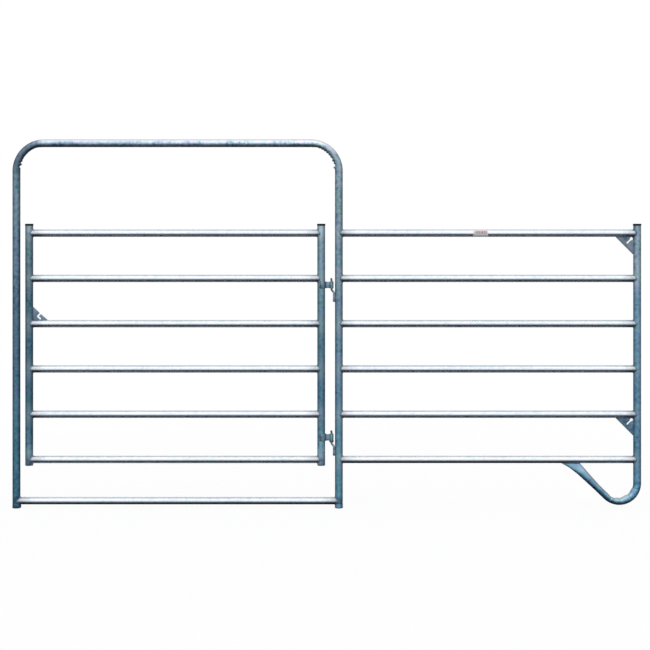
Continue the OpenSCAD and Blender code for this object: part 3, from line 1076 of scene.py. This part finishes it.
def build_plug(node, stile, body):
    """A moulded plug with a rounded rim, a dimple on top and a skirt inside the tube."""
    low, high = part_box(node)
    top_of_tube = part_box(stile)[1].z
    rim = high.z - top_of_tube
    rim_r = (high.x - low.x) / 2
    skirt_r = POST_R - POST_WALL - 0.1 * MM
    skirt = low.z - top_of_tube
    profile = [
        (0.4 * MM, rim - 0.9 * MM),
        (2.2 * MM, rim - 0.9 * MM),
        (3.0 * MM, rim - 0.2 * MM),
        (rim_r - 5 * MM, rim),
        (rim_r - 1.8 * MM, rim - 0.3 * MM),
        (rim_r - 0.5 * MM, rim - 1.2 * MM),
        (rim_r, rim - 2.8 * MM),
        (rim_r, 1.2 * MM),
        (rim_r - 0.5 * MM, 0.3 * MM),
        (rim_r - 1.5 * MM, 0.02 * MM),
        (skirt_r, 0.02 * MM),
        (skirt_r - 0.3 * MM, skirt),
        (skirt_r - 2 * MM, skirt),
        (skirt_r - 2 * MM, 2 * MM),
        (0.4 * MM, 2 * MM),
    ]
    mesh = skin([(lathe(profile, Vector((middle(node).x, 0, top_of_tube))), False)], node)
    add_piece(f"{node}_moulding", mesh, body, PLUG, [node])


# Outlines of a foot, in millimetres: out from the disc's rim, or from the post, and up
FOOT_DISC = [(-7, 0), (-3.5, 0.7), (-1.2, 2.6), (-0.7, 5)]
FOOT_COLLAR = [(0.5, 9), (0.3, 14), (0.2, 19), (0.1, 24), (-0.2, 30), (-1.2, 30), (-1.2, 5)]
# The set zinc: its lumps, which way it swelled most in radians from the way along the
# panel, how far past a quarter turn that reaches, over what height it grows from the
# ground, and where and over what height it runs out
LUMP_SIZE = 12 * MM
LUMP_HEIGHT = 0.6 * MM
SWELL_WAY = -0.3
SWELL_REACH = 0.4
ZINC_GROWS = 4 * MM
ZINC_TOP = 30 * MM
ZINC_RUNS_OUT = 16 * MM


def build_foot(side, x, swelling):
    """The disc that closes a post, under a collar of zinc that ran down and set there."""
    node = f"post_foot_{side}"
    low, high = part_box(node)
    rim_r = (high.x - low.x) / 2
    seed = Vector((0, 0, 7 * x))

    def ragged(angle, height):
        facing = Vector((cos(angle), sin(angle), height / LUMP_SIZE))
        lump = abs(noise.noise(facing * 2.1 + seed)) * LUMP_HEIGHT
        swollen = swelling * smooth((cos(angle - SWELL_WAY) + SWELL_REACH) / (1 + SWELL_REACH))
        rise = smooth(height / ZINC_GROWS) * smooth((ZINC_TOP - height) / ZINC_RUNS_OUT)
        return (lump + swollen) * rise

    profile = [(0.5 * MM, 0)]
    for base_r, outline in ((rim_r, FOOT_DISC), (POST_R, FOOT_COLLAR)):
        profile += [(base_r + out * MM, up * MM) for out, up in outline]
    profile += [(0.5 * MM, 5 * MM)]
    mesh = skin([(lathe(profile, Vector((x, 0, 0)), ragged), False)], node)
    add_piece(f"{node}_disc", mesh, "panel", FOOT, [node], sharp=50)


# The sticker: its front and its back above the rail, its corners, its top and bottom edge
# in degrees round the rail from straight ahead, and its grid
LABEL_LIFTS = (0.45 * MM, 0.03 * MM)
LABEL_CORNER_R = 5 * MM
LABEL_TOP = 50
LABEL_BOTTOM = -80
LABEL_GRID = (28, 40)
# Its bubbles: their height, and how many there are in a metre and in a radian
BUBBLE_HEIGHT = 0.12 * MM
BUBBLES_ALONG = 60
BUBBLES_ROUND = 2


def build_label():
    """A sticker with round corners, wrapped round the front and the underside of a rail."""
    low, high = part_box("rail_label")
    z = rail_z("panel", 1)
    half_l = (high.x - low.x) / 2
    rows, columns = LABEL_GRID
    arc_l = radians(LABEL_TOP - LABEL_BOTTOM) * RAIL_R
    points, uvs = [], []
    for lift in LABEL_LIFTS:
        for i in range(rows + 1):
            share = i / rows
            in_corner = max(0, LABEL_CORNER_R - min(share, 1 - share) * arc_l)
            short = LABEL_CORNER_R - sqrt(LABEL_CORNER_R**2 - in_corner**2)
            for j in range(columns + 1):
                along = 2 * j / columns - 1
                x = middle("rail_label").x + along * (half_l - short)
                angle = radians(LABEL_BOTTOM + (LABEL_TOP - LABEL_BOTTOM) * share)
                at = Vector((x * BUBBLES_ALONG, angle * BUBBLES_ROUND, 0))
                bubble = max(0, BUBBLE_HEIGHT * noise.noise(at))
                r = RAIL_R + lift + (bubble if lift == LABEL_LIFTS[0] else 0)
                points.append(Vector((x, -r * cos(angle), z + r * sin(angle))))
                uvs.append(((along + 1) / 2, share))
    faces = []
    width = columns + 1
    sheet = (rows + 1) * width
    for layer in (0, sheet):
        for i in range(rows):
            for j in range(columns):
                here = layer + i * width + j
                faces.append((here, here + 1, here + 1 + width, here + width))
    rim = list(range(width))
    rim += [i * width + columns for i in range(1, rows + 1)]
    rim += [rows * width + j for j in range(columns - 1, -1, -1)]
    rim += [i * width for i in range(rows - 1, 0, -1)]
    for here, there in zip(rim, rim[1:] + rim[:1]):
        faces.append((here, there, there + sheet, here + sheet))
    mesh = mesh_from("rail_label", points, faces)
    layer = mesh.uv_layers.new(name="UVMap")
    for loop in mesh.loops:
        layer.data[loop.index].uv = uvs[loop.vertex_index]
    add_piece("rail_label_film", mesh, "panel", LABEL, ["rail_label"])


# ---- welds

chance = random.Random(7)

# A bead's radius between its ripples, what a ripple adds and how much each ring strays,
# and at its two ends, over how many rings, all as shares of its full radius
BEAD_VALLEY = 0.88
BEAD_RIPPLE = 0.2
BEAD_STRAY = 0.03
BEAD_TIP = 0.45
BEAD_TIP_RINGS = 3


def bead_rings(path, radius, closed, count=10, pitch=4.2 * MM):
    """Rings of a weld bead along (point, outward) pairs, with its ripples."""
    rings = []
    travelled = 0.0
    total = len(path)
    for i, (point, outward) in enumerate(path):
        before = path[i - 1][0] if closed or i else point
        after = path[(i + 1) % total][0] if closed or i < total - 1 else point
        way = (after - before).normalized()
        up = (outward - way * outward.dot(way)).normalized()
        across = way.cross(up)
        if i:
            travelled += (point - path[i - 1][0]).length
        ripple = abs(sin(pi * travelled / pitch))
        stray = chance.uniform(-BEAD_STRAY, BEAD_STRAY)
        reach = radius * (BEAD_VALLEY + BEAD_RIPPLE * ripple + stray)
        if not closed:
            from_end = min(i, total - 1 - i) / BEAD_TIP_RINGS
            reach *= BEAD_TIP + (1 - BEAD_TIP) * smooth(from_end)
        rings.append([point + up * reach * c + across * reach * s for c, s in circle(count)])
    return rings


def saddle_path(post_x, z, side, steps=84, sink=1.3 * MM):
    """Once round the end of a rail, where it meets an upright. side is the way in which
    the rail leaves the upright, along X."""
    path = []
    wander = chance.uniform(0, 50)
    for up, behind in circle(steps):
        y = RAIL_R * behind
        reach = sqrt(POST_R**2 - y * y)
        point = Vector((post_x + side * reach, y, z + RAIL_R * up))
        rail_out = Vector((0, behind, up))
        post_out = Vector((side * reach / POST_R, y / POST_R, 0))
        outward = (rail_out + post_out).normalized()
        stray = 0.5 * MM * noise.noise(Vector((up * 2, behind * 2, wander)))
        path.append((point - outward * sink + Vector((side * stray, 0, 0)), outward))
    return path


def line_path(start, end, outward, step=1.2 * MM):
    """A straight weld from one point to another."""
    count = max(6, round((end - start).length / step))
    return [(start.lerp(end, i / count), outward.normalized()) for i in range(count + 1)]


def add_welds(name, body, paths, radius, closed=False):
    """One piece for the welds at one joint or rail."""
    shells = [(bead_rings(path, radius, closed), closed) for path in paths]
    mesh = skin(shells, f"{name}_welds")
    add_piece(f"{name}_welds", mesh, body, WELD, sharp=80)


# Radii of the weld beads
SADDLE_BEAD_R = 4.2 * MM
PLATE_BEAD_R = 2.6 * MM
STRAP_BEAD_R = 3.4 * MM
ROD_BEAD_R = 4.8 * MM
LEG_BEAD_R = 3.6 * MM


def add_rail_welds(name, body, left, right, z):
    """The welds at both ends of a rail."""
    paths = [saddle_path(left, z, 1), saddle_path(right, z, -1)]
    add_welds(name, body, paths, SADDLE_BEAD_R, closed=True)


def build_rail_welds():
    for group, ends in (("panel", PANEL_ENDS), ("gate", GATE_ENDS)):
        for number in range(1, RAIL_COUNT + 1):
            add_rail_welds(f"{group}_rail_{number}", group, *ends, rail_z(group, number))
    add_rail_welds("frame_base_rail", "panel", *DOORWAY_ENDS, middle("frame_base_rail").z)


def build_plate_welds():
    """Welds on both faces of each gusset, along the rail and along the stile."""
    plates = [
        ("corner_gusset_upper", "panel", "panel_end_stile", 1, -1, CORNER_LEG, CORNER_LEG),
        ("corner_gusset_lower", "panel", "panel_end_stile", 5, -1, CORNER_LEG, CORNER_LEG),
        ("gate_chain_gusset", "gate", "gate_latch_stile", 3, 1, CATCH_W, CATCH_H),
    ]
    from_corner, from_tip, sink = 6 * MM, 4 * MM, 0.4 * MM
    for name, body, stile, rail, way, long_x, long_z in plates:
        edge_x = upright_x(stile) + way * (POST_R - sink)
        edge_z = rail_z(body, rail) + way * (RAIL_R - sink)
        paths = []
        for face in (-1, 1):
            corner = Vector((edge_x, face * (GUSSET_T / 2 + 0.6 * MM), edge_z))
            runs = [
                (Vector((way, 0, 0)), Vector((0, face, way)), long_x),
                (Vector((0, 0, way)), Vector((way, face, 0)), long_z),
            ]
            for along, outward, long in runs:
                start = corner + along * from_corner
                end = corner + along * (long - from_tip)
                paths.append(line_path(start, end, outward))
        add_welds(name, body, paths, PLATE_BEAD_R)


# A strap's welds: how far past its end in degrees, how far out from the stile, and how far
# short of its edges
STRAP_WELD_PAST = 7
STRAP_WELD_OUT = 0.4 * MM
STRAP_WELD_SHORT = 2 * MM
# A rod's welds: how high they start and end above its foot, how far in front of and
# behind the panel's middle they lie, and how far out from the post's side
ROD_WELD = (3 * MM, 48 * MM)
ROD_WELD_Y = 5.2 * MM
ROD_WELD_OUT = 1.2 * MM


def build_hinge_welds():
    """Welds along both edges of each strap, and on both sides of each rod's foot."""
    stile_x = upright_x("gate_hinge_stile")
    angle = asin(STRAP_PAST / POST_R) + radians(STRAP_WELD_PAST)
    for level in ("upper", "lower"):
        low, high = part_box(f"hinge_strap_{level}")
        paths = []
        for face in (-1, 1):
            outward = Vector((-sin(angle), face * cos(angle), 0))
            at = Vector((stile_x, 0, 0)) + outward * (POST_R + STRAP_WELD_OUT)
            levels = (low.z + STRAP_WELD_SHORT, high.z - STRAP_WELD_SHORT)
            start, end = [at + Vector((0, 0, z)) for z in levels]
            paths.append(line_path(start, end, outward))
        add_welds(f"hinge_strap_{level}", "gate", paths, STRAP_BEAD_R)

        foot_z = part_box(f"hinge_pin_{level}")[0].z
        x = HINGE_POST_X - POST_R - ROD_WELD_OUT
        paths = []
        for face in (-1, 1):
            start, end = [Vector((x, face * ROD_WELD_Y, foot_z + up)) for up in ROD_WELD]
            paths.append(line_path(start, end, Vector((-0.4, face, 0))))
        add_welds(f"hinge_pin_{level}", "panel", paths, ROD_BEAD_R)


# The leg's welds: how far in front of and behind the middle, and half their length
LEG_WELD_Y = 5 * MM
LEG_WELD_HALF = 46 * MM


def build_foot_welds():
    """Welds on both faces of the leg's flat end, along the rail's underside."""
    top = LOWEST_RAIL_Z - sqrt(RAIL_R**2 - LEG_WELD_Y**2)
    slope = radians(FOOT_SLOPE)
    start_z = FOOT_LIFT + POST_R + FOOT_BEND_R * (1 - cos(slope))
    x = upright_x("panel_end_stile") - FOOT_BEND_R * (1 + sin(slope))
    x -= (top - start_z) / tan(slope)
    paths = []
    for face in (-1, 1):
        middle_of_weld = Vector((x, face * LEG_WELD_Y, top))
        half = Vector((LEG_WELD_HALF, 0, 0))
        outward = Vector((0, face, -1))
        paths.append(line_path(middle_of_weld - half, middle_of_weld + half, outward))
    add_welds("skid_foot_leg", "panel", paths, LEG_BEAD_R)


# ---- stage, light, camera

# The floor: half its side, how far it lies below the feet, how clear it is, and between
# which distances from the middle it fades away
FLOOR_HALF = 14
FLOOR_DROP = 0.5 * MM
FLOOR_CLEAR = 0.93
FLOOR_FADE = (2.2, 5.0)


def build_floor():
    """A plain pale floor. It doesn't light the object, and from below it isn't seen."""
    corners = [(x * FLOOR_HALF, y * FLOOR_HALF, 0) for x, y in ((-1, -1), (1, -1), (1, 1), (-1, 1))]
    mesh = mesh_from("floor", corners, [(0, 1, 2, 3)])
    floor = bpy.data.objects.new("floor", mesh)
    bpy.context.scene.collection.objects.link(floor)
    floor.location.z = -FLOOR_DROP
    floor.visible_diffuse = False
    floor.visible_glossy = False
    material, nodes, shader = material_tree("pale_floor")
    nodes.fill(shader, {"Base Color": srgb(248, 249, 250), "Roughness": 0.9})
    place = nodes.add("TexCoord").outputs["Object"]
    far = nodes.add("VectorMath", {0: place}, operation="LENGTH").outputs["Value"]
    fade = nodes.spread(far, *FLOOR_FADE, FLOOR_CLEAR, 1)
    below = nodes.add("NewGeometry").outputs["Backfacing"]
    hidden = nodes.math("MAXIMUM", fade, below)
    clear = nodes.add("BsdfTransparent").outputs[0]
    blend = nodes.add("MixShader", {0: hidden, 1: shader.outputs[0], 2: clear}).outputs[0]
    nodes.fill(nodes.tree.nodes["Material Output"], {"Surface": blend})
    mesh.materials.append(material)


# The light from each height in front of the panel: sine of the angle above the
# horizon, and its colour
SKY = [
    (-1.0, (0.004, 0.006, 0.010)),
    (-0.87, (0.006, 0.008, 0.014)),
    (-0.7, (0.015, 0.019, 0.028)),
    (-0.5, (0.100, 0.110, 0.130)),
    (-0.25, (0.39, 0.40, 0.42)),
    (0.0, (0.68, 0.69, 0.70)),
    (0.3, (0.85, 0.855, 0.86)),
    (0.7, (1.0, 1.0, 1.0)),
    (0.9, (0.86, 0.86, 0.86)),
    (1.0, (0.76, 0.76, 0.76)),
]
SKY_STRENGTH = 1.36
# What the light loses straight from the sides, in front of the panel and behind it, and
# between which depths one goes over to the other
SIDE_LOSS = (-0.45, -0.75)
SIDE_TURN = (-0.2, 0.3)
# What the light from the right loses, and the light from the left gains
RIGHT_LOSS = -0.07
# The share of light that comes from behind, what straight behind adds to it, and between
# which depths each of them sets in
BEHIND = 0.5
BEHIND_TURN = (0.0, 0.5)
STRAIGHT_BEHIND = 0.32
STRAIGHT_TURN = (0.6, 0.85)


def build_light():
    """Soft light: bright from the front and above, dim at the sides and a little less
    so straight behind, dark below, on a white ground."""
    world = bpy.data.worlds.new("studio")
    bpy.context.scene.world = world
    world.use_nodes = True
    nodes = Nodes(world.node_tree)
    way = nodes.add("TexCoord").outputs["Generated"]
    parts = nodes.add("SeparateXYZ", {"Vector": way}).outputs
    level = nodes.spread(parts["Z"], -1, 1)
    sky = nodes.ramp(level, [((sine + 1) / 2, (*colour, 1)) for sine, colour in SKY])
    side_loss = nodes.spread(parts["Y"], *SIDE_TURN, *SIDE_LOSS)
    sideways = nodes.times(parts["X"], parts["X"], side_loss)
    share = nodes.plus(nodes.plus(sideways, nodes.times(parts["X"], RIGHT_LOSS)), 1.0)
    behind = nodes.spread(parts["Y"], *BEHIND_TURN, 1.0, BEHIND)
    behind = nodes.plus(behind, nodes.spread(parts["Y"], *STRAIGHT_TURN, 0.0, STRAIGHT_BEHIND))
    strength = nodes.times(share, behind, SKY_STRENGTH)
    light = nodes.add("Background", {"Color": sky, "Strength": strength}).outputs[0]
    white = nodes.add("Background", {"Color": (1, 1, 1, 1), "Strength": 1.0}).outputs[0]
    seen = nodes.add("LightPath").outputs["Is Camera Ray"]
    blend = nodes.add("MixShader", {0: seen, 1: light, 2: white}).outputs[0]
    nodes.fill(nodes.tree.nodes["World Output"], {"Surface": blend})


def build_camera():
    """A level camera, with its view shifted down to the middle of the panel."""
    data = bpy.data.cameras.new("camera")
    data.sensor_width = SENSOR
    data.lens = SENSOR * CAMERA_DISTANCE / VIEW_WIDTH
    data.shift_y = (VIEW_MIDDLE[1] - CAMERA_HEIGHT) / VIEW_WIDTH
    camera = bpy.data.objects.new("camera", data)
    bpy.context.scene.collection.objects.link(camera)
    camera.location = (VIEW_MIDDLE[0], -CAMERA_DISTANCE, CAMERA_HEIGHT)
    camera.rotation_euler = (radians(90), 0, 0)
    bpy.context.scene.camera = camera
    bpy.context.scene.view_settings.view_transform = "Standard"


build_camera()
build_light()
build_floor()

RAIL_MATERIALS = {"panel_rail": PANEL_RAIL, "gate_rail": GATE_RAIL, "frame_base_rail": BASE_RAIL}
for name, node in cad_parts.items():
    for start, material in RAIL_MATERIALS.items():
        if name.startswith(start):
            node.material_slots[0].material = material

build_bow()
build_end_stile()
for stile in ("gate_latch_stile", "gate_hinge_stile"):
    build_gate_stile(stile)
for hinge_level in ("upper", "lower"):
    build_hinge_pin(hinge_level)
    build_strap(hinge_level)
build_pin_ring("hinge_collar", bar_radius("hinge_pin_lower") - COLLAR_BITE, "panel")
build_pin_ring("hinge_washer", bar_radius("hinge_pin_lower") + PIN_PLAY, "washer")
build_corner_gusset("upper", 1)
build_corner_gusset("lower", 5)
build_chain_gusset()
build_plug("end_stile_plug", "panel_end_stile", "panel")
build_plug("latch_stile_plug", "gate_latch_stile", "gate")
build_plug("hinge_stile_plug", "gate_hinge_stile", "gate")
build_foot("left", LATCH_POST_X, 4.0 * MM)
build_foot("right", HINGE_POST_X, 0.3 * MM)
build_label()
build_rail_welds()
build_plate_welds()
build_hinge_welds()
build_foot_welds()
